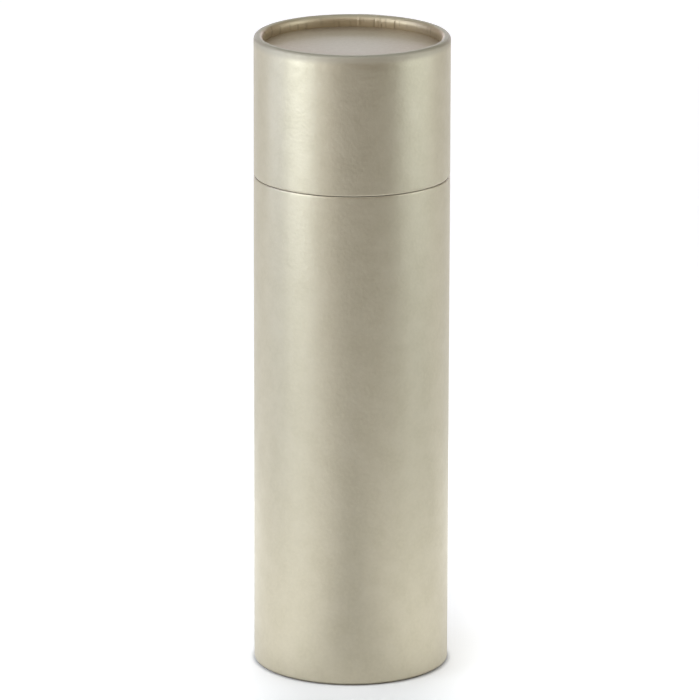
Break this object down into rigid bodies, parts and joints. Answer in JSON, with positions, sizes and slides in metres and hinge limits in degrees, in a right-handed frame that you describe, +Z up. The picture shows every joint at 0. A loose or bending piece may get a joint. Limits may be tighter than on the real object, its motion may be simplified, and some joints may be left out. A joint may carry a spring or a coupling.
{
  "type": "cylindrical gift tube box",
  "caption": "Upright round paperboard gift tube in champagne metallic paper, with rolled rims, recessed end discs and a lift-off lid that slides on an inner neck.",
  "frame": {"origin": "centre of the foot, on the surface that the box stands on", "axes": "+Z up along the tube's axis, -Y towards the viewer of the picture, the lap of the wrap 10.5 degrees from +Y towards +X"},
  "size_m": [0.08, 0.0801, 0.264],
  "materials": {
    "metallic_paper": "satin metallic champagne paper, finely mottled",
    "disc_paper": "matt champagne paper",
    "greyboard": "wound greyboard, bare at the cut edges",
    "ivory_paper": "uncoated ivory paper"
  },
  "bodies": {
    "base": {"body_tube": "greyboard", "body_wrap": "metallic_paper", "body_liner": "ivory_paper", "neck_tube": "greyboard", "neck_wrap": "ivory_paper", "neck_liner": "ivory_paper", "base_disc": "greyboard", "base_disc_facing": "disc_paper", "base_disc_backing": "ivory_paper"},
    "lid": {"lid_tube": "greyboard", "lid_wrap": "metallic_paper", "lid_liner": "ivory_paper", "lid_disc": "greyboard", "lid_disc_facing": "disc_paper", "lid_disc_backing": "ivory_paper"}
  },
  "joints": [
    {"name": "lid_lift", "type": "slide", "parent": "base", "child": "lid", "axis": [0, 0, 1], "range_m": [0, 0.12]}
  ]
}
